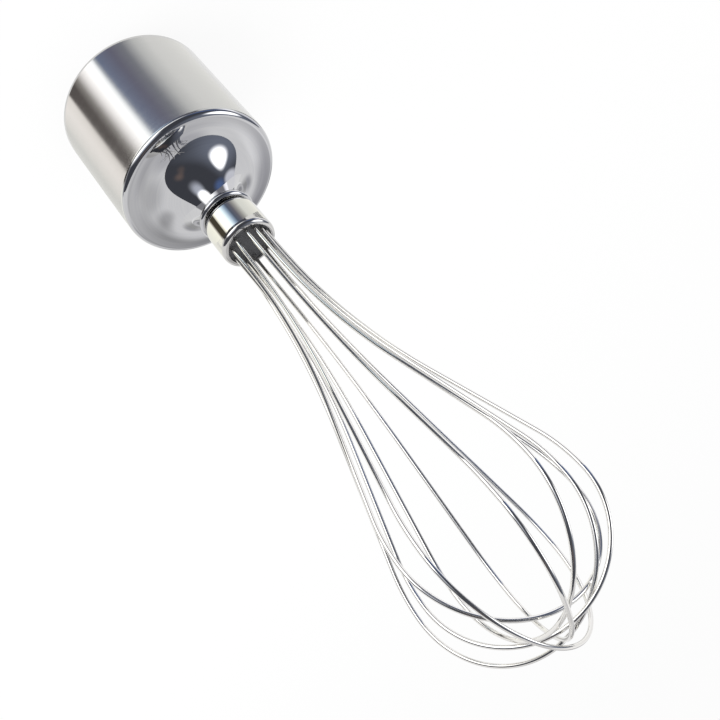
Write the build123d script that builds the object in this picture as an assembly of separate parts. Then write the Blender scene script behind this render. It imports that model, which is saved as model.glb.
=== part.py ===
from build123d import *
import math
import os

# Immersion blender whisk attachment: a drawn steel cup that slips over the end of the
# motor unit, a planetary reduction inside the cup, and a balloon whisk on its output.
# Millimetres. The origin is the centre of the cup's open rim, +Z points to the whisk.

# Coupling cup, one drawn steel shell
CUP_D = 58.0
CUP_WALL = 0.8
CUP_H = 52.0
CUP_CORNER_R = 2.3
HORN_FOOT_FLAT = 0.4
HORN_STRAIGHT = 1.3
NECK_D = 13.2
NECK_H = 16.6
LIP_D = 18.4
LIP_FLARE_H = 2.0
LIP_FLARE_R = 0.6
LIP_BEAD_R = 1.05

# Locking sleeve, moulded
SLEEVE_SETBACK = 1.0
SLEEVE_LAND_WALL = 2.15
SLEEVE_LAND_LENGTH = 8.5
SLEEVE_WALL = 2.65
SLEEVE_FLOOR_T = 2.0
SLEEVE_FLOOR_RIM = 8.15
SLEEVE_LEAD_IN = 1.0
BAYONET_COUNT = 2
BAYONET_WIDTH = 6.0
BAYONET_ENTRY = 13.0
BAYONET_RUN_DEG = 24.0
BAYONET_CUT = 1.2

# Case cover and gear case, moulded
COVER_T = 2.0
COVER_HUB_D = 16.0
COVER_HUB_H = 3.6
CASE_FLANGE_T = 2.4
CASE_WALL = 2.2
CASE_ROOM_UNDER_GEARS = 2.2
CASE_FLOOR_T = 2.4
CASE_BOSS_D = 11.0
CASE_BOSS_TOP_CLEAR = 1.0
GASKET_T = 0.8
GASKET_W = 1.6

# Case screws
SCREW_COUNT = 3
SCREW_INSET = 5.35
SCREW_D = 2.5
SCREW_LENGTH = 12.0
SCREW_HEAD_D = 4.6
SCREW_HEAD_H = 1.8
SCREW_RECESS_W = 0.9
SCREW_RECESS_L = 2.8
SCREW_RECESS_DEPTH = 1.0
SCREW_BOSS_D = 6.4
SCREW_HOLE_D = 3.0

# Gear train
RING_PITCH_SHARE = 0.6517241
SUN_TEETH = 12
PLANET_TEETH = 15
RING_TEETH = SUN_TEETH + 2 * PLANET_TEETH
PLANET_COUNT = 3
PRESSURE_ANGLE = 20.0
TOOTH_ADDENDUM = 0.75
TOOTH_DEDENDUM = 1.0
TOOTH_BACKLASH = 0.14
GEAR_WIDTH = 8.6
PLANET_HUB_D = 7.0
PLANET_HUB_RECESS = 0.8
PLANET_RIM_T = 0.9
PIN_D = 3.0
PIN_HEAD_D = 4.8
PIN_HEAD_T = 0.9
CARRIER_RIM = 4.35
CARRIER_T = 3.0
CARRIER_WINDOW_D = 7.0
WASHER_T = 0.6
WASHER_D = 13.0

# Shafts, bushes and seal
SHAFT_D = 5.0
SHAFT_HEX_AF = 4.2
SHAFT_FLAT_AF = 4.0
SHAFT_FLAT_LENGTH = 8.0
SHAFT_CHAMFER = 0.4
SHAFT_END_COVER = 1.5
BUSH_OD = 7.4
INNER_BUSH_LENGTH = 7.0
OUTER_BUSH_LENGTH = 6.0
SEAL_T = 2.2
SEAL_GROOVE_DEPTH = 0.5
RING_T = 0.7
RING_D = 8.0
RING_GROOVE_D = 4.2
RING_GAP_W = 2.6
INPUT_BUSH_OD = 9.0
INPUT_SHAFT_D = 6.0
INPUT_BUSH_FLANGE_D = 12.0
INPUT_BUSH_FLANGE_T = 0.8

# Drive socket, where the motor's spindle goes in
SOCKET_D = 14.0
SOCKET_LENGTH = 15.0
SOCKET_HOLE_AF = 6.4
SOCKET_HOLE_DEPTH = 11.0
SOCKET_LEAD_IN = 1.0
SOCKET_RIB_COUNT = 6
SOCKET_RIB_W = 1.6
SOCKET_RIB_H = 0.8
PINION_HEX_AF = 4.0
PINION_HEX_LENGTH = 3.0

# Whisk ferrule and core
FERRULE_D = 19.6
FERRULE_WALL = 0.8
FERRULE_LENGTH = 14.6
FERRULE_FAR_R = 1.6
FERRULE_RIM_R = 0.7
FERRULE_GAP = 0.7
CORE_RECESS = 0.8
CORE_CAVITY_D = 11.0
CORE_CAVITY_DEPTH = 2.4

# Wire loops: straight run, flare, straight run, shoulder, and a round end to the tip
WIRE_D = 1.35
LOOP_COUNT = 6
WIRE_EMBED = 8.0
LOOP_ENTRY_R = 6.65
LOOP_FLARE_R = 238.0
LOOP_FLARE_DEG = 16.0
LOOP_SHOULDER_R = 58.0
# Hand-bent loops: way round, radius of the round end, height of the tip over the core,
# and lean across and along the loop
LOOP_TURN_DEG = [7.5, 24.7, 50.1, 75.9, 115.6, 147.6]
LOOP_END_R = [28.6, 31.1, 29.1, 27.6, 32.3, 29.6]
LOOP_TIP_H = [161.9, 163.0, 163.5, 165.9, 167.4, 159.1]
LOOP_LEAN_ACROSS_DEG = [1.67, 3.07, -1.94, -0.11, -0.55, 1.11]
LOOP_LEAN_ALONG_DEG = [0.93, -2.48, 3.10, 1.90, -0.06, -0.71]

# Fits
SEAT_GAP = 0.05
RUNNING_GAP = 0.04
FREE_GAP = 0.3
THREAD_GAP = 0.02

# Heights worked out along the axis
END_INSIDE = CUP_H - CUP_WALL
CASE_TOP = END_INSIDE - GASKET_T
CASE_FLOOR_Z = CASE_TOP - CASE_FLOOR_T
CARRIER_TOP = CASE_FLOOR_Z - WASHER_T - FREE_GAP
CARRIER_Z = CARRIER_TOP - CARRIER_T
GEAR_TOP = CARRIER_Z - FREE_GAP
GEAR_Z = GEAR_TOP - GEAR_WIDTH
CASE_Z = GEAR_Z - CASE_ROOM_UNDER_GEARS
COVER_Z = CASE_Z - COVER_T
SLEEVE_FLOOR_Z = COVER_Z - SLEEVE_FLOOR_T
NECK_TOP = CUP_H + NECK_H
LIP_Z = NECK_TOP + LIP_FLARE_H
LIP_TOP = LIP_Z + LIP_BEAD_R
FERRULE_Z = LIP_TOP + FERRULE_GAP
FERRULE_TOP = FERRULE_Z + FERRULE_LENGTH
CORE_Z = FERRULE_Z + FERRULE_WALL
CORE_TOP = FERRULE_TOP - CORE_RECESS
SHAFT_TOP = CORE_TOP - FREE_GAP - SHAFT_END_COVER

# Radii worked out from the fits
CUP_IN_R = CUP_D / 2 - CUP_WALL
INSERT_R = CUP_IN_R - SEAT_GAP
SLEEVE_LAND_R = INSERT_R - SLEEVE_LAND_WALL
SLEEVE_BORE_R = INSERT_R - SLEEVE_WALL
SLEEVE_HOLE_R = INSERT_R - SLEEVE_FLOOR_RIM
SCREW_PITCH_R = INSERT_R - SCREW_INSET
BOSS_TOP = NECK_TOP - CASE_BOSS_TOP_CLEAR - SEAL_T
CORE_R = FERRULE_D / 2 - FERRULE_WALL - SEAT_GAP
GEAR_MODULE = CUP_D * RING_PITCH_SHARE / RING_TEETH
GEAR_CENTRE_R = GEAR_MODULE * (SUN_TEETH + PLANET_TEETH) / 2
RING_TIP_R = GEAR_MODULE * (RING_TEETH / 2 - TOOTH_ADDENDUM)
CASE_R = GEAR_MODULE * (RING_TEETH / 2 + TOOTH_DEDENDUM) + CASE_WALL
CARRIER_R = GEAR_CENTRE_R + CARRIER_RIM

# The horn, where the cup's end rises to the neck: a short straight flank under the neck,
# and one large arc from there to the flat at the cup's corner. Its corner is where the
# flank would meet the end, and lies where the arc takes up all but the straight.
HORN_FOOT_R = CUP_D / 2 - CUP_CORNER_R - HORN_FOOT_FLAT
HORN_REACH = HORN_FOOT_R + HORN_STRAIGHT
HORN_CORNER_R = (HORN_REACH**2 - (NECK_D / 2)**2 - NECK_H**2) / (2 * HORN_REACH - NECK_D)
HORN_HALF_ANGLE = (math.pi - math.atan2(NECK_H, HORN_CORNER_R - NECK_D / 2)) / 2
HORN_ARC_R = (HORN_FOOT_R - HORN_CORNER_R) * math.tan(HORN_HALF_ANGLE)
HORN_ARC_Z = CUP_H + HORN_ARC_R
HORN_INNER_ARC_R = HORN_ARC_R + CUP_WALL


def revolved(*points):
    """A turned solid from an outline of (radius, height) points."""
    outline = Polyline(*[(r, 0, z) for r, z in points], close=True)
    return revolve(make_face(outline), Axis.Z, 360)


def tube(outer_r, inner_r, bottom, top):
    """A plain ring between two heights."""
    return revolved((inner_r, bottom), (outer_r, bottom), (outer_r, top), (inner_r, top))


def rod(radius, bottom, top, x=0.0, y=0.0):
    """A round bar along Z between two heights."""
    return Pos(x, y, bottom) * extrude(Circle(radius), top - bottom)


def hex_bar(across_flats, bottom, top):
    """A hexagonal bar along Z between two heights."""
    section = RegularPolygon(across_flats / 2, 6, major_radius=False)
    return Pos(0, 0, bottom) * extrude(section, top - bottom)


def round_about(count, first=0.0):
    """Rotations that space copies evenly about Z."""
    return [Rot(0, 0, first + 360.0 * i / count) for i in range(count)]


def involute_point(base_r, radius, start):
    """A point of the involute of a base circle, at a radius, turned by a start angle."""
    roll = math.sqrt(max((radius / base_r) ** 2 - 1, 0.0))
    angle = start + roll - math.atan(roll)
    return (radius * math.cos(angle), radius * math.sin(angle))


def gear_section(teeth, addendum, dedendum, thinning):
    """A spur gear's section with involute flanks and a tooth centred on +X."""
    pitch_r = GEAR_MODULE * teeth / 2
    base_r = pitch_r * math.cos(math.radians(PRESSURE_ANGLE))
    tip_r = pitch_r + addendum * GEAR_MODULE
    root_r = pitch_r - dedendum * GEAR_MODULE
    pressure = math.radians(PRESSURE_ANGLE)
    half_tooth = math.pi / (2 * teeth) - thinning / (2 * pitch_r)
    start = -(half_tooth + math.tan(pressure) - pressure)
    low_r = max(base_r, root_r)
    radii = [low_r + (tip_r - low_r) * i / 3 for i in range(4)]
    right = [involute_point(base_r, r, start) for r in radii]
    left = [(x, -y) for x, y in reversed(right)]
    root_start = Vector(*right[0]).normalized() * root_r
    root_end = Vector(*left[-1]).normalized() * root_r
    edges = []
    for spin in round_about(teeth):
        tooth = [Spline(*right), ThreePointArc(right[-1], (tip_r, 0), left[0]), Spline(*left)]
        if low_r > root_r:
            tooth.insert(0, Line(root_start, right[0]))
            tooth.append(Line(left[-1], root_end))
        next_root = root_start.rotate(Axis.Z, 360.0 / teeth)
        mid_root = Vector(root_r, 0).rotate(Axis.Z, 180.0 / teeth)
        tooth.append(ThreePointArc(root_end, mid_root, next_root))
        edges += [spin * edge for edge in tooth]
    return make_face(Wire(edges))


def coupling_cup():
    """The drawn shell: cylinder, end that rises in a horn to the neck, and rolled lip."""
    outside = FilletPolyline(
        (CUP_D / 2, 0, 0),
        (CUP_D / 2, 0, CUP_H),
        (HORN_CORNER_R, 0, CUP_H),
        (NECK_D / 2, 0, NECK_TOP),
        (LIP_D / 2 - LIP_BEAD_R, 0, LIP_Z),
        radius=[CUP_CORNER_R, HORN_ARC_R, LIP_FLARE_R],
    )
    inside = offset(outside, CUP_WALL, side=Side.LEFT, closed=True)
    shell = revolve(make_face(inside), Axis.Z, 360)
    bead = Pos(0, 0, LIP_Z) * Torus(LIP_D / 2 - LIP_BEAD_R, LIP_BEAD_R)
    return shell + bead


def horn_inside_z(radius):
    """Height of the horn's inner face at a radius on its arc."""
    return HORN_ARC_Z - math.sqrt(HORN_INNER_ARC_R**2 - (HORN_FOOT_R - radius) ** 2)


def horn_inside_r(height):
    """Radius of the horn's inner face at a height on its arc."""
    return HORN_FOOT_R - math.sqrt(HORN_INNER_ARC_R**2 - (HORN_ARC_Z - height) ** 2)


def bayonet_track(turn):
    """An entry slot and a locking run, cut into the sleeve's bore."""
    outer_r = SLEEVE_LAND_R + BAYONET_CUT
    half = BAYONET_WIDTH / 2
    entry = Box(outer_r, BAYONET_WIDTH, BAYONET_ENTRY, align=(Align.MIN, Align.CENTER, Align.MIN))
    run_top = BAYONET_ENTRY
    sweep_face = make_face(
        Polyline((0, 0, run_top - BAYONET_WIDTH), (outer_r, 0, run_top - BAYONET_WIDTH),
                 (outer_r, 0, run_top), (0, 0, run_top), close=True)
    )
    run = revolve(sweep_face, Axis.Z, BAYONET_RUN_DEG + math.degrees(half / outer_r))
    round_limit = rod(outer_r, 0, BAYONET_ENTRY)
    return turn * Pos(0, 0, SLEEVE_SETBACK) * (round_limit & (entry + run))


def locking_sleeve():
    """The moulded sleeve that takes the motor unit's nose."""
    land_z = SLEEVE_SETBACK + SLEEVE_LEAD_IN
    sleeve = revolved(
        (SLEEVE_LAND_R + SLEEVE_LEAD_IN, SLEEVE_SETBACK),
        (INSERT_R, SLEEVE_SETBACK),
        (INSERT_R, COVER_Z),
        (SLEEVE_HOLE_R, COVER_Z),
        (SLEEVE_HOLE_R, SLEEVE_FLOOR_Z),
        (SLEEVE_BORE_R, SLEEVE_FLOOR_Z),
        (SLEEVE_BORE_R, land_z + SLEEVE_LAND_LENGTH),
        (SLEEVE_LAND_R, land_z + SLEEVE_LAND_LENGTH),
        (SLEEVE_LAND_R, land_z),
    )
    for turn in round_about(BAYONET_COUNT):
        sleeve -= bayonet_track(turn)
    for turn in screw_places():
        sleeve -= turn * rod(SCREW_HOLE_D / 2, SLEEVE_FLOOR_Z, COVER_Z)
    return sleeve


def screw_places():
    """The screws' places about the axis, between the planets."""
    return [turn * Pos(SCREW_PITCH_R, 0, 0) for turn in round_about(SCREW_COUNT, 180.0 / SCREW_COUNT)]


def case_cover():
    """The moulded plate that closes the gear case, with the input bush's hub."""
    hub_z = COVER_Z - COVER_HUB_H
    cover = revolved(
        (INPUT_BUSH_OD / 2, hub_z),
        (COVER_HUB_D / 2, hub_z),
        (COVER_HUB_D / 2, COVER_Z),
        (INSERT_R, COVER_Z),
        (INSERT_R, CASE_Z),
        (INPUT_BUSH_OD / 2, CASE_Z),
    )
    for turn in screw_places():
        cover -= turn * rod(SCREW_HOLE_D / 2, COVER_Z, CASE_Z)
    return cover


def gear_case():
    """The moulded case with the ring gear in its wall and the shaft's boss."""
    case = rod(INSERT_R, CASE_Z, CASE_Z + CASE_FLANGE_T)
    case += rod(CASE_R, CASE_Z, CASE_TOP)
    case += rod(CASE_BOSS_D / 2, CASE_TOP, BOSS_TOP)
    boss_top = COVER_Z - SCREW_HEAD_H + SCREW_LENGTH + CASE_FLANGE_T
    for turn in screw_places():
        case += turn * rod(SCREW_BOSS_D / 2, CASE_Z, boss_top)
        case -= turn * rod(SCREW_D / 2 + THREAD_GAP, CASE_Z, boss_top - CASE_FLANGE_T / 2)
    # The ring's tooth spaces are a gear of the same tooth count, grown by the backlash.
    spaces = gear_section(RING_TEETH, TOOTH_DEDENDUM, TOOTH_ADDENDUM, -TOOTH_BACKLASH)
    case -= Pos(0, 0, CASE_Z) * extrude(spaces, CARRIER_Z - CASE_Z)
    case -= rod(RING_TIP_R, CARRIER_Z, CASE_FLOOR_Z)
    case -= rod(BUSH_OD / 2, CASE_FLOOR_Z, BOSS_TOP)
    return case


def case_gasket():
    """The rubber ring between the case and the cup's end."""
    inner_r = CASE_R - GASKET_W
    return revolved(
        (inner_r, CASE_TOP),
        (CASE_R, CASE_TOP),
        (CASE_R, horn_inside_z(CASE_R) - SEAT_GAP),
        (inner_r, horn_inside_z(inner_r) - SEAT_GAP),
    )


def case_screws():
    """Pan-head screws that hold the sleeve and cover to the case."""
    screws = []
    head_z = SLEEVE_FLOOR_Z - SCREW_HEAD_H
    for turn in screw_places():
        screw = rod(SCREW_HEAD_D / 2, head_z, SLEEVE_FLOOR_Z)
        screw = fillet(screw.edges().filter_by(GeomType.CIRCLE).sort_by(Axis.Z)[0], SCREW_HEAD_H / 3)
        screw += rod(SCREW_D / 2, SLEEVE_FLOOR_Z, SLEEVE_FLOOR_Z + SCREW_LENGTH)
        for angle in (0, 90):
            slot = Box(SCREW_RECESS_L, SCREW_RECESS_W, 2 * SCREW_RECESS_DEPTH)
            screw -= Pos(0, 0, head_z) * Rot(0, 0, angle) * slot
        screws.append(turn * screw)
    return Compound(children=screws)


def input_bush():
    """The flanged bronze bush in the cover's hub."""
    bore_r = INPUT_SHAFT_D / 2 + RUNNING_GAP
    bush_r = INPUT_BUSH_OD / 2 - SEAT_GAP
    hub_z = COVER_Z - COVER_HUB_H
    return revolved(
        (bore_r, hub_z - INPUT_BUSH_FLANGE_T),
        (INPUT_BUSH_FLANGE_D / 2, hub_z - INPUT_BUSH_FLANGE_T),
        (INPUT_BUSH_FLANGE_D / 2, hub_z),
        (bush_r, hub_z),
        (bush_r, CASE_Z),
        (bore_r, CASE_Z),
    )


def drive_socket():
    """The moulded socket for the motor's spindle, with grip ribs."""
    top = COVER_Z - COVER_HUB_H - INPUT_BUSH_FLANGE_T - FREE_GAP
    bottom = top - SOCKET_LENGTH
    socket = rod(SOCKET_D / 2, bottom, top)
    socket = chamfer(socket.edges().filter_by(GeomType.CIRCLE), SHAFT_CHAMFER)
    for turn in round_about(SOCKET_RIB_COUNT):
        rib = Box(SOCKET_RIB_H * 2, SOCKET_RIB_W, SOCKET_LENGTH - 4 * SHAFT_CHAMFER)
        socket += turn * Pos(SOCKET_D / 2, 0, (bottom + top) / 2) * rib
    socket -= hex_bar(SOCKET_HOLE_AF, bottom, bottom + SOCKET_HOLE_DEPTH)
    lead_r = SOCKET_HOLE_AF / 2 / math.cos(math.radians(30))
    socket -= revolved(
        (0, bottom), (lead_r + SOCKET_LEAD_IN, bottom), (lead_r, bottom + SOCKET_LEAD_IN), (0, bottom + SOCKET_LEAD_IN)
    )
    socket -= hex_bar(PINION_HEX_AF + 2 * THREAD_GAP, top - PINION_HEX_LENGTH, top)
    return socket


def sun_pinion():
    """The steel pinion and its journal, keyed into the socket by a hexagon."""
    socket_top = COVER_Z - COVER_HUB_H - INPUT_BUSH_FLANGE_T - FREE_GAP
    pinion = rod(INPUT_SHAFT_D / 2, socket_top, GEAR_Z)
    pinion += hex_bar(PINION_HEX_AF, socket_top - PINION_HEX_LENGTH, socket_top)
    teeth = gear_section(SUN_TEETH, TOOTH_ADDENDUM, TOOTH_DEDENDUM, TOOTH_BACKLASH / 2)
    return pinion + Pos(0, 0, GEAR_Z) * extrude(teeth, GEAR_WIDTH)


def planet_gear(turn):
    """A moulded planet with a gap of its teeth facing the sun."""
    half_pitch = 180.0 / PLANET_TEETH
    teeth = gear_section(PLANET_TEETH, TOOTH_ADDENDUM, TOOTH_DEDENDUM, TOOTH_BACKLASH / 2)
    facing = Rot(0, 0, 180.0 + half_pitch)
    gear = Pos(0, 0, GEAR_Z) * facing * extrude(teeth, GEAR_WIDTH)
    gear -= rod(PIN_D / 2 + RUNNING_GAP, GEAR_Z, GEAR_TOP)
    web_r = GEAR_MODULE * (PLANET_TEETH / 2 - TOOTH_DEDENDUM) - PLANET_RIM_T
    for bottom in (GEAR_Z, GEAR_TOP - PLANET_HUB_RECESS):
        gear -= tube(web_r, PLANET_HUB_D / 2, bottom, bottom + PLANET_HUB_RECESS)
    return turn * Pos(GEAR_CENTRE_R, 0, 0) * gear


def planet_pin(turn):
    """A headed steel pin, pressed into the carrier."""
    pin = rod(PIN_D / 2, GEAR_Z - FREE_GAP, CARRIER_TOP)
    pin += rod(PIN_HEAD_D / 2, GEAR_Z - FREE_GAP - PIN_HEAD_T, GEAR_Z - FREE_GAP)
    return turn * Pos(GEAR_CENTRE_R, 0, 0) * pin


def planet_carrier():
    """The plate that the planets drive, hexagon-keyed to the output shaft."""
    carrier = rod(CARRIER_R, CARRIER_Z, CARRIER_TOP)
    carrier -= hex_bar(SHAFT_HEX_AF + 2 * THREAD_GAP, CARRIER_Z, CARRIER_TOP)
    for turn in round_about(PLANET_COUNT):
        carrier -= turn * rod(PIN_D / 2 + THREAD_GAP, CARRIER_Z, CARRIER_TOP, GEAR_CENTRE_R)
    for turn in round_about(PLANET_COUNT, 180.0 / PLANET_COUNT):
        carrier -= turn * rod(CARRIER_WINDOW_D / 2, CARRIER_Z, CARRIER_TOP, GEAR_CENTRE_R)
    return carrier


def thrust_washer():
    """The steel washer between the carrier and the case floor."""
    return tube(WASHER_D / 2, SHAFT_D / 2 + FREE_GAP, CASE_FLOOR_Z - WASHER_T, CASE_FLOOR_Z)


def output_shaft():
    """The steel shaft: hexagon in the carrier, two flats in the whisk's core."""
    shaft = rod(SHAFT_D / 2, CARRIER_TOP, SHAFT_TOP)
    shaft = chamfer(shaft.edges().filter_by(GeomType.CIRCLE).sort_by(Axis.Z)[-1], SHAFT_CHAMFER)
    shaft += hex_bar(SHAFT_HEX_AF, CARRIER_Z, CARRIER_TOP)
    shaft -= tube(SHAFT_D / 2 + FREE_GAP, RING_GROOVE_D / 2, ring_z() - SEAT_GAP, ring_z() + RING_T + SEAT_GAP)
    flats_z = SHAFT_TOP - SHAFT_FLAT_LENGTH
    flat_face = Box(SHAFT_D, SHAFT_FLAT_AF, SHAFT_FLAT_LENGTH, align=(Align.CENTER, Align.CENTER, Align.MIN))
    waste = rod(SHAFT_D, flats_z, SHAFT_TOP) - Pos(0, 0, flats_z) * flat_face
    return shaft - waste


def ring_z():
    """The height of the retaining ring, in the core's cavity."""
    return CORE_Z + 2 * FREE_GAP


def inner_shaft_bush():
    """The bronze bush in the case floor."""
    return tube(BUSH_OD / 2 - SEAT_GAP, SHAFT_D / 2 + RUNNING_GAP, CASE_FLOOR_Z, CASE_FLOOR_Z + INNER_BUSH_LENGTH)


def outer_shaft_bush():
    """The bronze bush at the end of the case's boss, in the neck."""
    return tube(BUSH_OD / 2 - SEAT_GAP, SHAFT_D / 2 + RUNNING_GAP, BOSS_TOP - OUTER_BUSH_LENGTH, BOSS_TOP)


def shaft_seal():
    """The rubber lip seal in the horn's neck, above the boss."""
    outer_r = horn_inside_r(BOSS_TOP) - SEAT_GAP
    top_r = horn_inside_r(BOSS_TOP + SEAL_T) - SEAT_GAP
    inner_r = SHAFT_D / 2 + RUNNING_GAP
    return revolved(
        (inner_r, BOSS_TOP),
        (outer_r, BOSS_TOP),
        (top_r, BOSS_TOP + SEAL_T),
        (inner_r + 2 * SEAL_GROOVE_DEPTH + FREE_GAP, BOSS_TOP + SEAL_T),
        ((inner_r + top_r) / 2, BOSS_TOP + SEAL_T / 2),
        (inner_r + SEAL_GROOVE_DEPTH, BOSS_TOP + SEAL_T),
        (inner_r, BOSS_TOP + SEAL_T),
    )


def retaining_ring():
    """The spring ring in the shaft's groove."""
    ring = tube(RING_D / 2, RING_GROOVE_D / 2 + THREAD_GAP, ring_z(), ring_z() + RING_T)
    gap = Box(RING_D, RING_GAP_W, RING_T * 3, align=(Align.MIN, Align.CENTER, Align.CENTER))
    return ring - Pos(0, 0, ring_z()) * gap


def whisk_ferrule():
    """The drawn steel ferrule round the whisk's core."""
    outer_r = FERRULE_D / 2
    body = rod(outer_r, FERRULE_Z, FERRULE_TOP)
    ends = body.edges().filter_by(GeomType.CIRCLE).sort_by(Axis.Z)
    body = fillet(ends[0], FERRULE_FAR_R)
    body = fillet(body.edges().filter_by(GeomType.CIRCLE).sort_by(Axis.Z)[-1], FERRULE_RIM_R)
    body -= rod(outer_r - FERRULE_WALL, CORE_Z, FERRULE_TOP)
    return body - rod(CORE_CAVITY_D / 2, FERRULE_Z, CORE_Z)


def whisk_core():
    """The moulded core that holds the wire ends and takes the shaft."""
    core = rod(CORE_R, CORE_Z, CORE_TOP)
    corner = FERRULE_FAR_R - FERRULE_WALL + SEAT_GAP
    if corner > 0:
        core = chamfer(core.edges().filter_by(GeomType.CIRCLE).sort_by(Axis.Z)[0], corner)
    core -= rod(CORE_CAVITY_D / 2, CORE_Z, CORE_Z + CORE_CAVITY_DEPTH)
    core -= rod(SHAFT_D / 2 + THREAD_GAP, CORE_Z, SHAFT_TOP - SHAFT_FLAT_LENGTH)
    flats = Box(SHAFT_D + 2 * THREAD_GAP, SHAFT_FLAT_AF + 2 * THREAD_GAP, SHAFT_FLAT_LENGTH + FREE_GAP,
                align=(Align.CENTER, Align.CENTER, Align.MIN))
    flats &= rod(SHAFT_D / 2 + THREAD_GAP, 0, SHAFT_FLAT_LENGTH + FREE_GAP)
    core -= Pos(0, 0, SHAFT_TOP - SHAFT_FLAT_LENGTH) * flats
    for i in range(LOOP_COUNT):
        for side in (-1, 1):
            hole = rod(WIRE_D / 2 + THREAD_GAP, -WIRE_EMBED - FREE_GAP, FREE_GAP + WIRE_D, side * LOOP_ENTRY_R)
            core -= loop_place(i) * hole
    return core


def loop_place(i):
    """Where loop i stands: at the core's face, turned and leaned."""
    lean = Rot(LOOP_LEAN_ACROSS_DEG[i], LOOP_LEAN_ALONG_DEG[i], 0)
    return Pos(0, 0, CORE_TOP) * Rot(0, 0, LOOP_TURN_DEG[i]) * lean


def loop_half(i):
    """Half of a loop's centre line, from its end in the core to the tip on the axis."""
    end_r = LOOP_END_R[i]
    flare = math.radians(LOOP_FLARE_DEG)
    widened = (LOOP_FLARE_R + LOOP_SHOULDER_R) * (1 - math.cos(flare))
    rising_run = (end_r - LOOP_ENTRY_R - widened) / math.sin(flare)
    bent_h = (LOOP_FLARE_R + LOOP_SHOULDER_R) * math.sin(flare) + rising_run * math.cos(flare) + end_r
    bends = [
        (WIRE_EMBED + LOOP_TIP_H[i] - bent_h, LOOP_FLARE_R, -LOOP_FLARE_DEG),
        (rising_run, LOOP_SHOULDER_R, LOOP_FLARE_DEG),
        (0.0, end_r, 90.0),
    ]
    edges = []
    point = Vector(LOOP_ENTRY_R, -WIRE_EMBED)
    heading = Vector(0, 1)
    for run, radius, turn in bends:
        if run > 0:
            edges.append(Line(point, point + heading * run))
            point = edges[-1] @ 1
        edges.append(JernArc(point, heading, radius, turn))
        point = edges[-1] @ 1
        heading = edges[-1] % 1
    return edges


def wire_loop(i):
    """One loop of round wire, both ends in the core."""
    half = [Plane.XZ * bend.edge() for bend in loop_half(i)]
    other = [edge.mirror(Plane.YZ) for edge in half]
    section = Plane(half[0] @ 0, z_dir=half[0] % 0) * Circle(WIRE_D / 2)
    return loop_place(i) * sweep(section, path=Wire(half + other))


def main():
    os.makedirs("parts", exist_ok=True)
    nodes = {
        "coupling_cup": coupling_cup(),
        "locking_sleeve": locking_sleeve(),
        "case_cover": case_cover(),
        "gear_case": gear_case(),
        "case_gasket": case_gasket(),
        "case_screws": case_screws(),
        "input_bush": input_bush(),
        "drive_socket": drive_socket(),
        "sun_pinion": sun_pinion(),
        "planet_carrier": planet_carrier(),
        "thrust_washer": thrust_washer(),
        "output_shaft": output_shaft(),
        "inner_shaft_bush": inner_shaft_bush(),
        "outer_shaft_bush": outer_shaft_bush(),
        "shaft_seal": shaft_seal(),
        "retaining_ring": retaining_ring(),
        "whisk_ferrule": whisk_ferrule(),
        "whisk_core": whisk_core(),
    }
    for k, turn in enumerate(round_about(PLANET_COUNT), start=1):
        nodes[f"planet_gear_{k}"] = planet_gear(turn)
        nodes[f"planet_pin_{k}"] = planet_pin(turn)
    for i in range(LOOP_COUNT):
        nodes[f"wire_loop_{i + 1}"] = wire_loop(i)
    for name, shape in nodes.items():
        export_step(shape, f"parts/{name}.step")


main()
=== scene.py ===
import math

import bmesh
import bpy
from mathutils import Matrix, Vector


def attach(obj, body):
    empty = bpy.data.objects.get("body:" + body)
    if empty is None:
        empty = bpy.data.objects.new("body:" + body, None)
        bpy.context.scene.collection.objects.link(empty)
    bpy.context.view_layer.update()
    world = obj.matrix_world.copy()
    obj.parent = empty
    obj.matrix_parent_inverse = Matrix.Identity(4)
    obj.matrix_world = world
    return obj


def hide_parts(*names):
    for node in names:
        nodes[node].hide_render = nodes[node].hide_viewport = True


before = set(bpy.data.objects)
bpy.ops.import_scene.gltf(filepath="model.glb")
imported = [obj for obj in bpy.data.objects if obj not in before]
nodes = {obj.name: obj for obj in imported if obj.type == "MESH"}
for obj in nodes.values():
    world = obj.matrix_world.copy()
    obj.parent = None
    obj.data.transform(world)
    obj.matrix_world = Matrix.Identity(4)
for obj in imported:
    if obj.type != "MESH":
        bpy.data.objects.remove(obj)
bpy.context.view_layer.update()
scene = bpy.context.scene

# Camera
# It looks down on the part from the +y side, rolled so that the whisk runs to the lower right,
# and its shift puts the part where the photograph has it.
CAMERA_PLACE = (-0.00008, 0.25323, 0.31064)
LOOKS_ALONG = Vector((0.0, -0.86240, -0.50622))
PICTURE_RIGHT = Vector((0.77455, -0.32019, 0.54548))
PICTURE_UP = PICTURE_RIGHT.cross(LOOKS_ALONG)
camera_data = bpy.data.cameras.new("camera")
camera_data.lens = 50.0
camera_data.sensor_width = 36.0
camera_data.shift_x = -0.0193
camera_data.shift_y = 0.0497
camera = bpy.data.objects.new("camera", camera_data)
scene.collection.objects.link(camera)
camera.matrix_world = Matrix.Translation(CAMERA_PLACE) @ Matrix(
    (PICTURE_RIGHT, PICTURE_UP, -LOOKS_ALONG)).transposed().to_4x4()
scene.camera = camera
scene.view_settings.view_transform = "Standard"

# Studio
# A white room: the world shows plain white to the camera and in the metal, and lights the
# part at a plain level.
WORLD_LIGHT = 0.8


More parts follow.
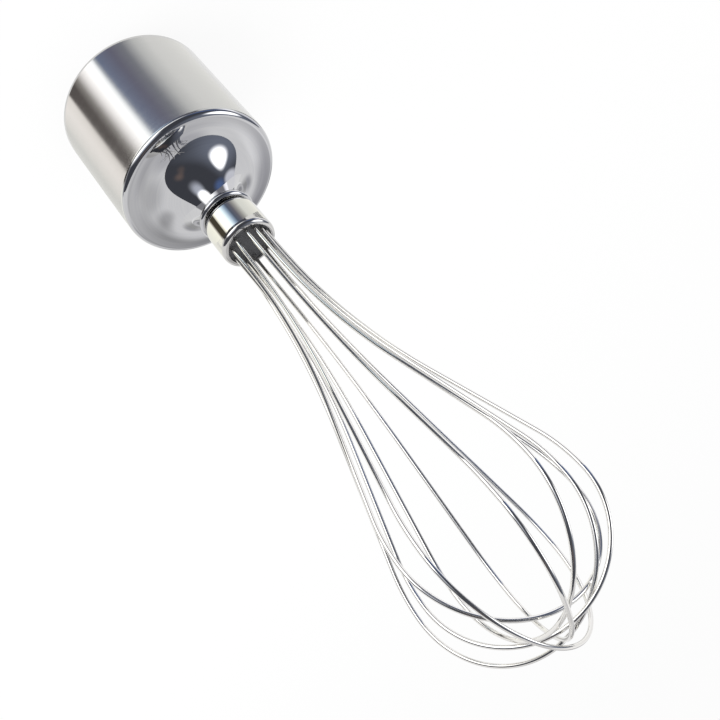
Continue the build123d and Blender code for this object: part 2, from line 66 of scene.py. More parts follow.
def by_sight(tree, target, unseen, seen):
    """A socket with one value where its thing is looked at or mirrored, and one elsewhere."""
    rays = tree.nodes.new("ShaderNodeLightPath")
    looked_at = tree.nodes.new("ShaderNodeMath")
    looked_at.operation = "MAXIMUM"
    mirrored = tree.nodes.new("ShaderNodeMath")
    mirrored.operation = "MAXIMUM"
    level = tree.nodes.new("ShaderNodeMapRange")
    level.inputs["To Min"].default_value = unseen
    level.inputs["To Max"].default_value = seen
    tree.links.new(rays.outputs["Is Camera Ray"], looked_at.inputs[0])
    tree.links.new(rays.outputs["Is Glossy Ray"], mirrored.inputs[0])
    tree.links.new(rays.outputs["Is Transmission Ray"], mirrored.inputs[1])
    tree.links.new(mirrored.outputs[0], looked_at.inputs[1])
    tree.links.new(looked_at.outputs[0], level.inputs["Value"])
    tree.links.new(level.outputs[0], target)


world = bpy.data.worlds.new("studio")
world.use_nodes = True
scene.world = world
sky = world.node_tree.nodes["Background"]
sky.inputs["Color"].default_value = (1.0, 1.0, 1.0, 1.0)
by_sight(world.node_tree, sky.inputs["Strength"], unseen=WORLD_LIGHT, seen=1.0)

# Floor
# Wide, flat and matt white. Most of what is looked at or mirrored of it is plain white, and
# the rest keeps the part's soft shadow.
FLOOR_HALF = 30.0
FLOOR_PLAIN_SHARE = 0.87
floor_mesh = bpy.data.meshes.new("floor")
floor_mesh.from_pydata([
    (-FLOOR_HALF, -FLOOR_HALF, 0),
    (FLOOR_HALF, -FLOOR_HALF, 0),
    (FLOOR_HALF, FLOOR_HALF, 0),
    (-FLOOR_HALF, FLOOR_HALF, 0),
], [], [(0, 1, 2, 3)])
floor = bpy.data.objects.new("floor", floor_mesh)
scene.collection.objects.link(floor)
floor_paint = bpy.data.materials.new("floor")
floor_paint.use_nodes = True
tree = floor_paint.node_tree
paint = tree.nodes["Principled BSDF"]
paint.inputs["Base Color"].default_value = (1.0, 1.0, 1.0, 1.0)
paint.inputs["Roughness"].default_value = 1.0
paint.inputs["Specular IOR Level"].default_value = 0.0
glow = tree.nodes.new("ShaderNodeEmission")
share = tree.nodes.new("ShaderNodeMixShader")
by_sight(tree, share.inputs["Fac"], unseen=0.0, seen=FLOOR_PLAIN_SHARE)
tree.links.new(paint.outputs[0], share.inputs[1])
tree.links.new(glow.outputs[0], share.inputs[2])
tree.links.new(share.outputs[0], tree.nodes["Material Output"].inputs["Surface"])
floor_mesh.materials.append(floor_paint)

# Key lamp
# A square soft box high over the -x side. It faces the middle of the part and gives the
# shadow its direction, and the metal doesn't mirror it.
KEY_PLACE = Vector((-0.5, 0.2, 0.9))
KEY_FACES = Vector((0, 0, 0.1))
KEY_SIDE = 0.5
KEY_POWER = 4.0
key_data = bpy.data.lights.new("key", "AREA")
key_data.shape = "RECTANGLE"
key_data.size = KEY_SIDE
key_data.size_y = KEY_SIDE
key_data.energy = KEY_POWER
key = bpy.data.objects.new("key", key_data)
scene.collection.objects.link(key)
key.location = KEY_PLACE
key.rotation_euler = (KEY_FACES - KEY_PLACE).to_track_quat("-Z", "Y").to_euler()
key.visible_glossy = False

# Painted reflection strips on the floor
# Glowing strips that stand in for flags and soft boxes. Only the metal mirrors them and they
# light nothing, so the bright steel's dark and light bands are painted reflections. A strip has
# its colours by the turn of the wall that mirrors it, and such a wall mirrors the floor along
# twice its turn less the camera's.
MIRRORED_TURN = -87.5
STRIP_Z = 0.0003
STRIP_COLUMNS = 200


def painted_reflection_card(name, points, faces, tints):
    """A panel of painted reflection that only the metal mirrors and that lights nothing, with a colour
    at each of its points.
    """
    mesh = bpy.data.meshes.new(name)
    mesh.from_pydata(points, [], faces)
    kept = mesh.color_attributes.new("tint", "FLOAT_COLOR", "POINT")
    for k, colour in enumerate(tints):
        kept.data[k].color = (*colour, 1.0)
    made = bpy.data.objects.new(name, mesh)
    scene.collection.objects.link(made)
    material = bpy.data.materials.new(name)
    material.use_nodes = True
    tree = material.node_tree
    tree.nodes.remove(tree.nodes["Principled BSDF"])
    light = tree.nodes.new("ShaderNodeEmission")
    colour = tree.nodes.new("ShaderNodeAttribute")
    colour.attribute_name = "tint"
    tree.links.new(colour.outputs["Color"], light.inputs["Color"])
    tree.links.new(light.outputs[0], tree.nodes["Material Output"].inputs["Surface"])
    mesh.materials.append(material)
    made.visible_camera = False
    made.visible_diffuse = False
    made.visible_transmission = False
    made.visible_volume_scatter = False
    made.visible_shadow = False


def grid_faces(columns, rows):
    """Quads of a grid of points laid out column by column."""
    return [(c * rows + r, (c + 1) * rows + r, (c + 1) * rows + r + 1, c * rows + r + 1)
            for c in range(columns - 1) for r in range(rows - 1)]


def steps_between(stops, at):
    """The colour at a place between stops of (place, colour)."""
    if at <= stops[0][0]:
        return stops[0][1]
    for (low, first), (high, second) in zip(stops, stops[1:]):
        if at <= high:
            share = (at - low) / (high - low)
            return tuple(a + (b - a) * share for a, b in zip(first, second))
    return stops[-1][1]


def painted_floor_strip(name, wall_r, near, far, bands, turns=(20.0, 172.0)):
    """A strip of painted reflection on the floor that a round wall mirrors, from near to far from the
    wall.
    """
    points, tints = [], []
    for c in range(STRIP_COLUMNS):
        side = turns[0] + (turns[1] - turns[0]) * c / (STRIP_COLUMNS - 1)
        wall = Vector((math.cos(math.radians(side)), math.sin(math.radians(side)))) * wall_r
        out = math.radians(2 * side + MIRRORED_TURN)
        for reach in (near, far):
            points.append((wall.x + reach * math.cos(out), wall.y + reach * math.sin(out), STRIP_Z))
            tints.append(steps_between(bands, side))
    painted_reflection_card(name, points, grid_faces(STRIP_COLUMNS, 2), tints)


# The cup's and the ferrule's painted reflections, by growing turn: a pale end, a blue-grey
# fade, a painted white soft-box highlight, and a painted dark brown flag with a sharp edge. The
# corner's and the neck's follow them further out.
painted_floor_strip("painted_reflection_at_cup", wall_r=0.0295, near=0.0, far=0.0467, bands=[
    (20.0, (1.00, 1.00, 0.97)), (52.0, (0.94, 0.94, 0.93)), (62.0, (0.72, 0.73, 0.73)),
    (71.0, (0.27, 0.28, 0.32)), (80.0, (0.19, 0.19, 0.26)), (91.0, (0.22, 0.26, 0.38)),
    (93.2, (0.60, 0.64, 0.70)), (94.6, (1.40, 1.44, 1.48)), (99.0, (2.0, 2.0, 2.0)),
    (106.0, (1.30, 1.26, 1.25)), (112.0, (0.36, 0.34, 0.32)), (117.0, (0.14, 0.125, 0.12)),
    (124.3, (0.14, 0.125, 0.12)), (126.3, (1.15, 1.10, 1.05)), (135.0, (1.22, 1.17, 1.13)),
    (146.0, (1.02, 1.00, 0.96)), (152.0, (0.86, 0.86, 0.83)),
])
painted_floor_strip("painted_reflection_at_ferrule", wall_r=0.0098, near=0.0665, far=0.098, bands=[
    (20.0, (1.16, 1.16, 1.08)), (54.0, (0.95, 0.97, 0.92)), (64.0, (0.45, 0.45, 0.44)),
    (71.0, (0.18, 0.18, 0.22)), (78.5, (0.12, 0.15, 0.22)), (84.0, (0.45, 0.60, 0.80)),
    (92.0, (1.35, 1.58, 1.70)), (99.0, (1.85, 1.88, 1.78)), (107.0, (1.80, 1.78, 1.60)),
    (111.5, (0.95, 0.93, 0.82)), (113.0, (0.08, 0.07, 0.05)), (123.5, (0.08, 0.07, 0.05)),
    (125.5, (0.50, 0.46, 0.42)), (129.0, (1.35, 1.35, 1.20)), (172.0, (0.95, 0.95, 0.90)),
])
painted_floor_strip("painted_reflection_at_corner", wall_r=0.0290, near=0.079, far=0.150, bands=[
    (20.0, (0.30, 0.30, 0.32)), (36.0, (0.30, 0.30, 0.32)), (42.0, (1.00, 1.00, 1.00)),
    (60.0, (1.00, 1.00, 1.00)), (63.0, (0.08, 0.08, 0.10)), (88.0, (0.08, 0.10, 0.15)),
    (92.0, (0.22, 0.26, 0.34)), (96.0, (0.08, 0.08, 0.09)), (126.0, (0.05, 0.05, 0.05)),
    (128.0, (0.9, 0.9, 0.88)), (172.0, (0.9, 0.9, 0.88)),
])
painted_floor_strip("painted_reflection_at_neck", wall_r=0.0, near=0.180, far=0.699, bands=[
    (20.0, (0.95, 0.95, 0.98)), (41.0, (1.0, 1.0, 1.02)), (44.0, (1.6, 1.6, 1.65)),
    (49.0, (1.3, 1.3, 1.4)), (54.0, (0.24, 0.24, 0.27)), (70.0, (0.24, 0.24, 0.27)),
    (80.0, (1.2, 1.22, 1.25)), (88.0, (1.9, 1.9, 1.85)), (109.0, (1.9, 1.9, 1.9)),
    (114.0, (0.30, 0.30, 0.32)), (130.0, (0.30, 0.30, 0.32)), (132.0, (1.0, 1.0, 1.0)),
    (162.0, (0.9, 0.9, 0.9)), (167.0, (0.42, 0.42, 0.42)), (170.0, (0.42, 0.42, 0.42)),
    (175.0, (0.9, 0.9, 0.9)), (183.0, (0.9, 0.9, 0.9)), (187.0, (0.38, 0.38, 0.39)),
    (189.0, (0.38, 0.38, 0.39)), (193.0, (0.9, 0.9, 0.9)),
], turns=(24.0, 196.0))

# Painted reflection of a round room
# A painted reflection for the cup's polished end to mirror over the floor: a dark end and a
# pale one, each a piece of a sphere round the part that lights nothing, of one base colour
# with painted soft spots added to it.
ROOM_R = 0.7
ROOM_MIDDLE_Z = 0.06
ROOM_FOOT = -6.0
ROOM_RISE = 95.9


def painted_spot(at, middle, size, soft):
    """How much of a painted soft spot of the room reaches a place (azimuth, elevation), 0 to 1."""
    across = (at[0] - middle[0] + 180.0) % 360.0 - 180.0
    away = math.hypot(across * math.cos(math.radians(at[1])) / size[0], (at[1] - middle[1]) / size[1])
    edge = min(max((1.0 + soft / 2 - away) / soft, 0.0), 1.0)
    return edge * edge * (3 - 2 * edge)


def painted_room_end(name, azimuths, columns, rows, base, painted_spots):
    """A painted reflection of an end of the room, with its painted spots of (middle, size, softness,
    colour added).
    """
    points, tints = [], []
    for c in range(columns):
        azimuth = azimuths[0] + (azimuths[1] - azimuths[0]) * c / (columns - 1)
        for r in range(rows):
            elevation = ROOM_FOOT + ROOM_RISE * r / (rows - 1)
            a, e = math.radians(azimuth), math.radians(elevation)
            points.append((
                ROOM_R * math.cos(a) * math.cos(e),
                ROOM_R * math.sin(a) * math.cos(e),
                ROOM_MIDDLE_Z + ROOM_R * math.sin(e),
            ))
            colour = Vector(base)
            for middle, size, soft, added in painted_spots:
                colour += Vector(added) * painted_spot((azimuth, elevation), middle, size, soft)
            tints.append(tuple(max(v, 0.0) for v in colour))
    painted_reflection_card(name, points, grid_faces(columns, rows), tints)


# The painted dark end, with two painted soft-box highlights, the painted glow round them and a
# painted warm corner.
painted_room_end("painted_dark_end", azimuths=(-36.0, 171.0), columns=140, rows=80, base=(0.066, 0.070, 0.084), painted_spots=[
    ((2.0, 35.0), (16.5, 16.5), 0.6, (2.2, 2.2, 2.2)),
    ((-8.0, 44.0), (30.0, 30.0), 1.4, (0.15, 0.17, 0.22)),
    ((112.0, -3.0), (23.0, 15.0), 0.6, (2.0, 2.0, 1.98)),
    ((112.0, 14.0), (17.0, 16.0), 1.2, (0.55, 0.58, 0.66)),
    ((128.0, 54.0), (7.0, 5.0), 1.8, (0.11, 0.065, 0.04)),
    ((112.0, 62.0), (5.0, 5.0), 1.8, (0.06, 0.035, 0.02)),
    ((-20.0, -2.0), (22.0, 10.0), 0.8, (0.75, 0.76, 0.82)),
    ((30.0, -2.0), (22.0, 9.0), 1.4, (0.04, 0.10, 0.28)),
])
# The painted pale end, with painted soft grey shading patches and two painted dark specks low
# down, one each side of the ferrule.
painted_room_end("painted_pale_end", azimuths=(171.0, 324.0), columns=70, rows=50, base=(0.90, 0.90, 0.91), painted_spots=[
    ((-79.0, 34.0), (12.0, 12.0), 1.4, (-0.38, -0.38, -0.36)),
    ((-103.0, 37.0), (13.0, 10.0), 1.4, (-0.36, -0.36, -0.36)),
    ((-133.0, 22.0), (12.0, 10.0), 1.4, (-0.34, -0.34, -0.34)),
    ((-92.0, 58.0), (12.0, 8.0), 1.4, (-0.26, -0.26, -0.25)),
    ((-140.0, 52.0), (18.0, 14.0), 1.4, (-0.26, -0.26, -0.26)),
    ((-60.0, 76.0), (30.0, 10.0), 1.2, (-0.30, -0.30, -0.28)),
    ((-62.0, 36.0), (8.0, 12.0), 1.2, (0.18, 0.18, 0.18)),
    ((-114.0, 28.0), (14.0, 9.0), 1.4, (-0.17, -0.17, -0.17)),
    ((-110.0, -3.0), (7.5, 6.0), 1.4, (-0.46, -0.46, -0.45)),
    ((-70.0, -1.0), (5.5, 9.0), 1.4, (-0.46, -0.46, -0.44)),
])

# Coupling cup
# One shell drawn from steel sheet: a satin side, then a polished end that rises in a horn to
# the neck, where the sheet is rolled into a lip. The rim's edge is only broken, not rolled.
CUP_R = 0.029
CUP_H = 0.052
CUP_WALL = 0.0008
CUP_EDGE = 0.0002
CUP_CORNER_R = 0.0023
CUP_SATIN_TO = 0.0495
HORN_CORNER_R = 0.0107815
HORN_ARC_R = 0.0202973
NECK_R = 0.0066
NECK_TOP = CUP_H + 0.0162
NECK_CORNER_R = 0.0006
LIP_R = 0.0101
LIP_BEAD_R = 0.00125
LIP_BEAD_STEPS = 48
LIP_Z = 0.0702
OUTSIDE_STEP = math.radians(1.0)
INSIDE_STEP = math.radians(6.0)
FEWEST_STEPS = 6
CUP_TURN_STEPS = 256
MERGED_UNDER = 1e-7
SHARP_OVER = math.radians(35.0)
MM_PER_M = 1000.0
GRAIN_LOW = 0.3
GRAIN_HIGH = 0.7
GRAIN_DETAIL = 3.0


def arc(centre, radius, start, swept, steps):
    """Points on an arc of a profile, both ends among them."""
    turns = [start + swept * s / steps for s in range(steps + 1)]
    return [centre + Vector((math.cos(a), math.sin(a))) * radius for a in turns]


def rounded(corners, step):
    """Points of a profile whose corners (radius, height, fillet) are rounded."""
    made = []
    for k, (r, z, fillet) in enumerate(corners):
        here = Vector((r, z))
        if fillet == 0.0:
            made.append(here)
            continue
        back = (Vector(corners[k - 1][:2]) - here).normalized()
        on = (Vector(corners[k + 1][:2]) - here).normalized()
        half = back.angle(on) / 2
        centre = here + (back + on).normalized() * (fillet / math.sin(half))
        first = here + back * (fillet / math.tan(half)) - centre
        last = here + on * (fillet / math.tan(half)) - centre
        start = math.atan2(first.y, first.x)
        swept = (math.atan2(last.y, last.x) - start + math.pi) % math.tau - math.pi
        made += arc(centre, fillet, start, swept, max(FEWEST_STEPS, round(abs(swept) / step)))
    return made


def walled(outside, wall):
    """The inside points of a sheet, from the outside ones."""
    inside = []
    for k, p in enumerate(outside):
        along = (outside[min(k + 1, len(outside) - 1)] - outside[max(k - 1, 0)]).normalized()
        inside.append(p + Vector((-along.y, along.x)) * wall)
    return inside


def turned(name, profile, steps):
    """A closed profile of points (radius, height), spun once round the part's axis."""
    work = bmesh.new()
    ring = [work.verts.new((p.x, 0, p.y)) for p in profile]
    lines = [work.edges.new((ring[k], ring[k - 1])) for k in range(len(ring))]
    bmesh.ops.spin(work, geom=ring + lines, axis=(0, 0, 1), cent=(0, 0, 0),
                   angle=math.tau, steps=steps, use_merge=True)
    bmesh.ops.remove_doubles(work, verts=work.verts, dist=MERGED_UNDER)
    bmesh.ops.recalc_face_normals(work, faces=work.faces)
    for face in work.faces:
        face.smooth = True
    mesh = bpy.data.meshes.new(name)
    work.to_mesh(mesh)
    work.free()
    mesh.set_sharp_from_angle(angle=SHARP_OVER)
    made = bpy.data.objects.new(name, mesh)
    scene.collection.objects.link(made)
    return made


def finish(name, colour, metallic, roughness, **shader_values):
    """A new material and its shader, with the values that are the same all over it."""
    made = bpy.data.materials.new(name)
    made.use_nodes = True
    shader = made.node_tree.nodes["Principled BSDF"]
    shader.inputs["Base Color"].default_value = (*colour, 1.0)
    shader.inputs["Metallic"].default_value = metallic
    shader.inputs["Roughness"].default_value = roughness
    for socket, value in shader_values.items():
        shader.inputs[socket.replace("_", " ")].default_value = value
    return made, shader


def turned_grain(shader, lines_per_mm, waviness):
    """Noise in rings round the axis, as a wheel or a lathe leaves it: fine along the profile."""
    tree = shader.id_data
    place = tree.nodes.new("ShaderNodeTexCoord")
    parts = tree.nodes.new("ShaderNodeSeparateXYZ")
    tree.links.new(place.outputs["Object"], parts.inputs[0])
    round_axis = tree.nodes.new("ShaderNodeCombineXYZ")
    tree.links.new(parts.outputs["X"], round_axis.inputs["X"])
    tree.links.new(parts.outputs["Y"], round_axis.inputs["Y"])
    radius = tree.nodes.new("ShaderNodeVectorMath")
    radius.operation = "LENGTH"
    tree.links.new(round_axis.outputs[0], radius.inputs[0])
    profile = tree.nodes.new("ShaderNodeCombineXYZ")
    tree.links.new(radius.outputs["Value"], profile.inputs["X"])
    tree.links.new(parts.outputs["Z"], profile.inputs["Z"])
    wave = tree.nodes.new("ShaderNodeVectorMath")
    wave.operation = "MULTIPLY_ADD"
    wave.inputs[1].default_value = (waviness, waviness, 0.0)
    tree.links.new(place.outputs["Object"], wave.inputs[0])
    tree.links.new(profile.outputs[0], wave.inputs[2])
    grain = tree.nodes.new("ShaderNodeTexNoise")
    grain.inputs["Scale"].default_value = lines_per_mm * MM_PER_M
    grain.inputs["Detail"].default_value = GRAIN_DETAIL
    tree.links.new(wave.outputs[0], grain.inputs["Vector"])
    return grain


def vary(shader, grain, roughness, colours):
    """Roughness and colour that follow a grain, each between two values."""
    tree = shader.id_data
    between = tree.nodes.new("ShaderNodeMapRange")
    between.inputs["From Min"].default_value = GRAIN_LOW
    between.inputs["From Max"].default_value = GRAIN_HIGH
    between.inputs["To Min"].default_value = roughness[0]
    between.inputs["To Max"].default_value = roughness[1]
    tree.links.new(grain.outputs["Fac"], between.inputs["Value"])
    tree.links.new(between.outputs[0], shader.inputs["Roughness"])
    ramp = tree.nodes.new("ShaderNodeValToRGB")
    for stop, place, colour in zip(ramp.color_ramp.elements, (GRAIN_LOW, GRAIN_HIGH), colours):
        stop.position = place
        stop.color = (*colour, 1.0)
    tree.links.new(grain.outputs["Fac"], ramp.inputs["Fac"])
    tree.links.new(ramp.outputs["Color"], shader.inputs["Base Color"])


def relief(shader, grain, depth_mm, strength):
    """A fine relief on a shader's normal."""
    tree = shader.id_data
    bump = tree.nodes.new("ShaderNodeBump")
    bump.inputs["Distance"].default_value = depth_mm / MM_PER_M
    bump.inputs["Strength"].default_value = strength
    tree.links.new(grain.outputs["Fac"], bump.inputs["Height"])
    tree.links.new(bump.outputs[0], shader.inputs["Normal"])


lip_middle = Vector((LIP_R - LIP_BEAD_R, LIP_Z))
flare = (lip_middle - Vector((NECK_R, NECK_TOP))).normalized()
lip_meets = lip_middle - flare * LIP_BEAD_R
cup_corners = [
    (CUP_R, CUP_EDGE, 0.0),
    (CUP_R, CUP_H, CUP_CORNER_R),
    (HORN_CORNER_R, CUP_H, HORN_ARC_R),
    (NECK_R, NECK_TOP, NECK_CORNER_R),
    (lip_meets.x, lip_meets.y, 0.0),
]
cup_outside = rounded(cup_corners, OUTSIDE_STEP)
lip_bead = arc(lip_middle, LIP_BEAD_R, math.atan2(-flare.y, -flare.x),
               math.tau - math.asin(CUP_WALL / LIP_BEAD_R), LIP_BEAD_STEPS)
cup_inside = walled(rounded(cup_corners, INSIDE_STEP), CUP_WALL)[::-1]
cup_edge = [Vector((CUP_R - CUP_WALL + CUP_EDGE, 0.0)), Vector((CUP_R - CUP_EDGE, 0.0))]
cup_profile = cup_outside[:-1] + lip_bead + cup_inside + cup_edge
cup = turned("coupling_cup_shell", cup_profile, CUP_TURN_STEPS)

polished, shader = finish("polished steel", (0.60, 0.60, 0.61), metallic=1.0, roughness=0.03)
grain = turned_grain(shader, lines_per_mm=2.0, waviness=0.02)
vary(shader, grain, roughness=(0.02, 0.045), colours=((0.585, 0.585, 0.60), (0.62, 0.62, 0.625)))
cup.data.materials.append(polished)

satin, shader = finish("satin steel", (0.615, 0.61, 0.60), metallic=1.0, roughness=0.16, Anisotropic=0.6)
grain = turned_grain(shader, lines_per_mm=9.0, waviness=0.01)
vary(shader, grain, roughness=(0.12, 0.20), colours=((0.595, 0.59, 0.58), (0.635, 0.63, 0.62)))
relief(shader, grain, depth_mm=0.002, strength=0.25)
tangent = satin.node_tree.nodes.new("ShaderNodeTangent")
tangent.direction_type = "RADIAL"
tangent.axis = "Z"
satin.node_tree.links.new(tangent.outputs[0], shader.inputs["Tangent"])
cup.data.materials.append(satin)

for face in cup.data.polygons:
    middle = face.center
    if middle.z < CUP_SATIN_TO and math.hypot(middle.x, middle.y) > CUP_R - CUP_WALL / 2:
        face.material_index = 1
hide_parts("coupling_cup")
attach(cup, "housing")

# Ferrule
# A small cup drawn from steel and chromed, pressed over the whisk's core. Its rounded foot
# stands just off the cup's lip and its rim stands a little over the core's face.
FERRULE_R = 0.0098
FERRULE_WALL = 0.0008
FERRULE_Z = 0.07235
FERRULE_TOP = 0.08695
FERRULE_HOLE_R = 0.0055
FERRULE_FOOT_R = 0.0024
FERRULE_RIM_R = 0.0016
FERRULE_MOUTH_R = 0.0080
FERRULE_MOUTH_EDGE_R = 0.0002
FERRULE_OFF_CORE = 0.00005
FERRULE_RIM_LOW = FERRULE_TOP - FERRULE_WALL + FERRULE_OFF_CORE
FERRULE_BEND_STEP = math.radians(5.0)
FERRULE_TURN_STEPS = 192
ferrule_profile = rounded([
    (FERRULE_HOLE_R, FERRULE_Z, 0.0),
    (FERRULE_R, FERRULE_Z, FERRULE_FOOT_R),
    (FERRULE_R, FERRULE_TOP, FERRULE_RIM_R),
    (FERRULE_MOUTH_R, FERRULE_TOP, FERRULE_MOUTH_EDGE_R),
    (FERRULE_MOUTH_R, FERRULE_RIM_LOW, 0.0),
    (FERRULE_R - FERRULE_WALL, FERRULE_RIM_LOW, 0.0),
    (FERRULE_R - FERRULE_WALL, FERRULE_Z + FERRULE_FOOT_R, 0.0),
    (FERRULE_R - FERRULE_FOOT_R, FERRULE_Z + FERRULE_WALL, 0.0),
    (FERRULE_HOLE_R, FERRULE_Z + FERRULE_WALL, 0.0),
], FERRULE_BEND_STEP)
ferrule = turned("ferrule_shell", ferrule_profile, FERRULE_TURN_STEPS)
chrome, shader = finish("ferrule chrome", (0.66, 0.65, 0.63), metallic=1.0, roughness=0.02)
grain = turned_grain(shader, lines_per_mm=4.0, waviness=0.03)
vary(shader, grain, roughness=(0.01, 0.03), colours=((0.65, 0.64, 0.62), (0.68, 0.67, 0.65)))
ferrule.data.materials.append(chrome)
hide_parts("whisk_ferrule")
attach(ferrule, "whisk")

# Wire loops
# Six loops of hard-drawn steel wire, bent by hand round a form, so no two are quite alike.
# Both ends of each go into the core. Each loop is a line of runs and bends, and a tree of
# nodes draws the round wire along it.
WIRE_R = 0.000675
WIRE_SIDES = 20
WIRE_EMBED = 0.008
CORE_TOP = 0.08615
BEND_STEP = math.radians(1.5)
LOOP_ENTRY_R = 0.00665
LOOP_FLARE_R = 0.238
LOOP_FLARE = math.radians(16.0)
LOOP_SHOULDER_R = 0.058
LOOPS = [  # way round, radius of the round end, height of the tip, lean across and along
    (7.5, 0.0286, 0.1619, 1.67, 0.93),
    (24.7, 0.0311, 0.1630, 3.07, -2.48),
    (50.1, 0.0291, 0.1635, -1.94, 3.10),
    (75.9, 0.0276, 0.1659, -0.11, 1.90),
    (115.6, 0.0323, 0.1674, -0.55, -0.06),
    (147.6, 0.0296, 0.1591, 1.11, -0.71),
]


def bent(start, heading, bends):
    """Points of a flat line of runs and bends (run, radius, turn)."""
    points = [start]
    for run, radius, turn in bends:
        if run > 0:
            points.append(points[-1] + heading * run)
        side = Vector((-heading.y, heading.x)) * math.copysign(radius, turn)
        centre = points[-1] + side
        steps = max(FEWEST_STEPS, round(abs(turn) / BEND_STEP))
        first = points[-1] - centre
        for s in range(1, steps + 1):
            points.append(centre + Matrix.Rotation(turn * s / steps, 2) @ first)
        heading = Matrix.Rotation(turn, 2) @ heading
    return points


def loop_line(turn, end_r, tip_h, across, along):
    """Points of one loop, from its end in the core over the tip to its other end."""
    widened = (LOOP_FLARE_R + LOOP_SHOULDER_R) * (1 - math.cos(LOOP_FLARE))
    rising_run = (end_r - LOOP_ENTRY_R - widened) / math.sin(LOOP_FLARE)
    flared_h = (LOOP_FLARE_R + LOOP_SHOULDER_R) * math.sin(LOOP_FLARE)
    bent_h = flared_h + rising_run * math.cos(LOOP_FLARE) + end_r
    half = bent(Vector((LOOP_ENTRY_R, -WIRE_EMBED)), Vector((0.0, 1.0)), [
        (WIRE_EMBED + tip_h - bent_h, LOOP_FLARE_R, -LOOP_FLARE),
        (rising_run, LOOP_SHOULDER_R, LOOP_FLARE),
        (0.0, end_r, math.pi / 2),
    ])
    flat = half + [Vector((-p.x, p.y)) for p in half[-2::-1]]
    stands = Matrix.Translation((0, 0, CORE_TOP)) @ Matrix.Rotation(math.radians(turn), 4, "Z") \
        @ Matrix.Rotation(math.radians(across), 4, "X") @ Matrix.Rotation(math.radians(along), 4, "Y")
    return [stands @ Vector((p.x, 0, p.y)) for p in flat]


def wire_tree():
    """A tree of nodes that draws round wire along a line."""
    tree = bpy.data.node_groups.new("round wire", "GeometryNodeTree")
    face = tree.interface
    face.new_socket("Line", in_out="INPUT", socket_type="NodeSocketGeometry")
    face.new_socket("Wire radius", in_out="INPUT", socket_type="NodeSocketFloat")
    face.new_socket("Sides", in_out="INPUT", socket_type="NodeSocketInt")
    face.new_socket("Finish", in_out="INPUT", socket_type="NodeSocketMaterial")
    face.new_socket("Wire", in_out="OUTPUT", socket_type="NodeSocketGeometry")
    given = tree.nodes.new("NodeGroupInput")
    made = tree.nodes.new("NodeGroupOutput")
    line = tree.nodes.new("GeometryNodeMeshToCurve")
    ring = tree.nodes.new("GeometryNodeCurvePrimitiveCircle")
    wire = tree.nodes.new("GeometryNodeCurveToMesh")
    wire.inputs["Fill Caps"].default_value = True
    smooth = tree.nodes.new("GeometryNodeSetShadeSmooth")
    real = tree.nodes.new("GeometryNodeRealizeInstances")
    coat = tree.nodes.new("GeometryNodeSetMaterial")
    tree.links.new(given.outputs["Line"], line.inputs["Mesh"])
    tree.links.new(given.outputs["Wire radius"], ring.inputs["Radius"])
    tree.links.new(given.outputs["Sides"], ring.inputs["Resolution"])
    tree.links.new(line.outputs[0], wire.inputs["Curve"])
    tree.links.new(ring.outputs[0], wire.inputs["Profile Curve"])
    tree.links.new(wire.outputs[0], smooth.inputs["Geometry"])
    tree.links.new(smooth.outputs[0], real.inputs[0])
    tree.links.new(real.outputs[0], coat.inputs["Geometry"])
    tree.links.new(given.outputs["Finish"], coat.inputs["Material"])
    tree.links.new(coat.outputs[0], made.inputs[0])
    return tree


def grow(host, tree, values):
    """Turns an object into the plain mesh that a tree of nodes makes on it."""
    modifier = host.modifiers.new(tree.name, "NODES")
    modifier.node_group = tree
    for item in tree.interface.items_tree:
        if item.in_out == "INPUT" and item.name in values:
            modifier[item.identifier] = values[item.name]
    depsgraph = bpy.context.evaluated_depsgraph_get()
    mesh = bpy.data.meshes.new_from_object(host.evaluated_get(depsgraph))
    host.modifiers.remove(modifier)
    host.data = mesh


def even_grain(shader, grains_per_mm, detail=GRAIN_DETAIL):
    """Noise that is the same in all directions, as a die, a mould or a blast leaves it."""
    tree = shader.id_data
    place = tree.nodes.new("ShaderNodeTexCoord")
    grain = tree.nodes.new("ShaderNodeTexNoise")
    grain.inputs["Scale"].default_value = grains_per_mm * MM_PER_M
    grain.inputs["Detail"].default_value = detail
    tree.links.new(place.outputs["Object"], grain.inputs["Vector"])
    return grain


wire_steel, shader = finish("drawn wire steel", (0.88, 0.865, 0.83), metallic=1.0, roughness=0.06)
grain = even_grain(shader, grains_per_mm=1.5)
vary(shader, grain, roughness=(0.04, 0.09), colours=((0.86, 0.845, 0.81), (0.90, 0.885, 0.85)))
round_wire = wire_tree()
for k, loop in enumerate(LOOPS, start=1):
    points = loop_line(*loop)
    line = bpy.data.meshes.new(f"wire_{k}")
    line.from_pydata(points, [(i, i + 1) for i in range(len(points) - 1)], [])
    wire = bpy.data.objects.new(f"wire_{k}", line)
    scene.collection.objects.link(wire)
    grow(wire, round_wire, {"Wire radius": WIRE_R, "Sides": WIRE_SIDES, "Finish": wire_steel})
    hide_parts(f"wire_loop_{k}")
    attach(wire, "whisk")

# Whisk core
# A moulded plug that the wires and the shaft are pressed into. Dark grey, with the matt face
# of a spark-eroded mould.


def dress(material, *names):
    """Gives pieces of the frame their finish."""
    for name in names:
        nodes[name].material_slots[0].material = material


dark_moulding, shader = finish("dark moulding", (0.060, 0.060, 0.064), metallic=0.0, roughness=0.55)
grain = even_grain(shader, grains_per_mm=3.0)
vary(shader, grain, roughness=(0.45, 0.65), colours=((0.054, 0.054, 0.058), (0.068, 0.068, 0.072)))
relief(shader, grain, depth_mm=0.03, strength=0.5)
dress(dark_moulding, "whisk_core")

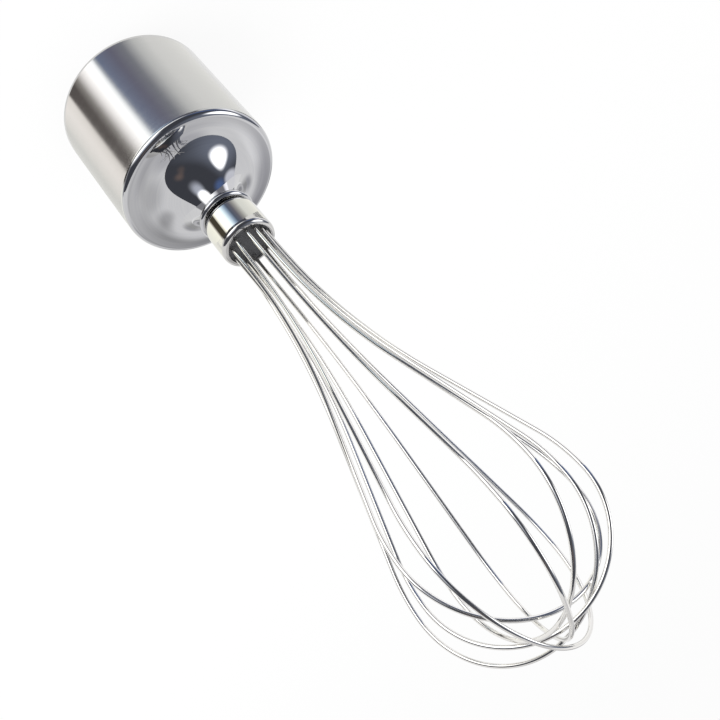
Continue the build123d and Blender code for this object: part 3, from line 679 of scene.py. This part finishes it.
# Locking sleeve and case cover
# Moulded in a dark grey near the whisk core's, with a finer face, so that wear from the motor
# unit's nose doesn't show. Screws hold both to the gear case.
sleeve_moulding, shader = finish("sleeve moulding", (0.075, 0.076, 0.080), metallic=0.0, roughness=0.5)
grain = even_grain(shader, grains_per_mm=1.2, detail=6.0)
vary(shader, grain, roughness=(0.38, 0.62), colours=((0.066, 0.067, 0.071), (0.086, 0.087, 0.091)))
relief(shader, grain, depth_mm=0.03, strength=0.4)
dress(sleeve_moulding, "locking_sleeve", "case_cover")

# Gear case and planets
# Moulded in a pale, greased grade that runs quietly. The case has the ring gear in its wall,
# and the planets turn on the carrier's pins inside it.
pale_moulding, shader = finish("pale moulding", (0.62, 0.60, 0.55), metallic=0.0, roughness=0.4,
                               Subsurface_Weight=0.05)
grain = even_grain(shader, grains_per_mm=0.8, detail=5.0)
vary(shader, grain, roughness=(0.28, 0.48), colours=((0.57, 0.55, 0.50), (0.66, 0.64, 0.59)))
relief(shader, grain, depth_mm=0.02, strength=0.3)
dress(pale_moulding, "gear_case", "planet_gear_1", "planet_gear_2", "planet_gear_3")

# Drive socket
# Moulded round the sun pinion's shank, in a hard dark grade that holds its hexagon. The
# motor's spindle goes into it.
socket_moulding, shader = finish("socket moulding", (0.030, 0.030, 0.032), metallic=0.0, roughness=0.35)
grain = even_grain(shader, grains_per_mm=2.0, detail=4.0)
vary(shader, grain, roughness=(0.28, 0.45), colours=((0.024, 0.024, 0.026), (0.040, 0.040, 0.042)))
relief(shader, grain, depth_mm=0.015, strength=0.3)
dress(socket_moulding, "drive_socket")

# Gasket and shaft seal
# Black rubber: a flat ring clamped under the cup's end, and a lip seal round the shaft in
# the neck.
rubber, shader = finish("black rubber", (0.018, 0.018, 0.018), metallic=0.0, roughness=0.7)
grain = even_grain(shader, grains_per_mm=2.5, detail=4.0)
vary(shader, grain, roughness=(0.6, 0.8), colours=((0.014, 0.014, 0.014), (0.026, 0.026, 0.025)))
relief(shader, grain, depth_mm=0.02, strength=0.4)
dress(rubber, "case_gasket", "shaft_seal")

# Bushes
# Sintered bronze, soaked in oil: a fine grain with a few darker pores. They are pressed into
# the case and its cover.
bronze, shader = finish("sintered bronze", (0.55, 0.38, 0.20), metallic=1.0, roughness=0.4)
grain = even_grain(shader, grains_per_mm=4.0, detail=6.0)
vary(shader, grain, roughness=(0.32, 0.52), colours=((0.42, 0.28, 0.14), (0.60, 0.42, 0.23)))
relief(shader, grain, depth_mm=0.02, strength=0.5)
dress(bronze, "input_bush", "inner_shaft_bush", "outer_shaft_bush")

# Shafts, pins, carrier, washer, ring and screws
# Turned or stamped steel, plain and a little oily, with the marks of the tool round the axis.
# The planets' pins are pressed into the carrier.
plain_steel, shader = finish("plain steel", (0.50, 0.50, 0.50), metallic=1.0, roughness=0.28)
grain = turned_grain(shader, lines_per_mm=5.0, waviness=0.05)
vary(shader, grain, roughness=(0.20, 0.36), colours=((0.46, 0.46, 0.46), (0.54, 0.54, 0.53)))
relief(shader, grain, depth_mm=0.004, strength=0.3)
dress(plain_steel, "sun_pinion", "planet_pin_1", "planet_pin_2", "planet_pin_3", "planet_carrier",
      "thrust_washer", "output_shaft", "retaining_ring", "case_screws")
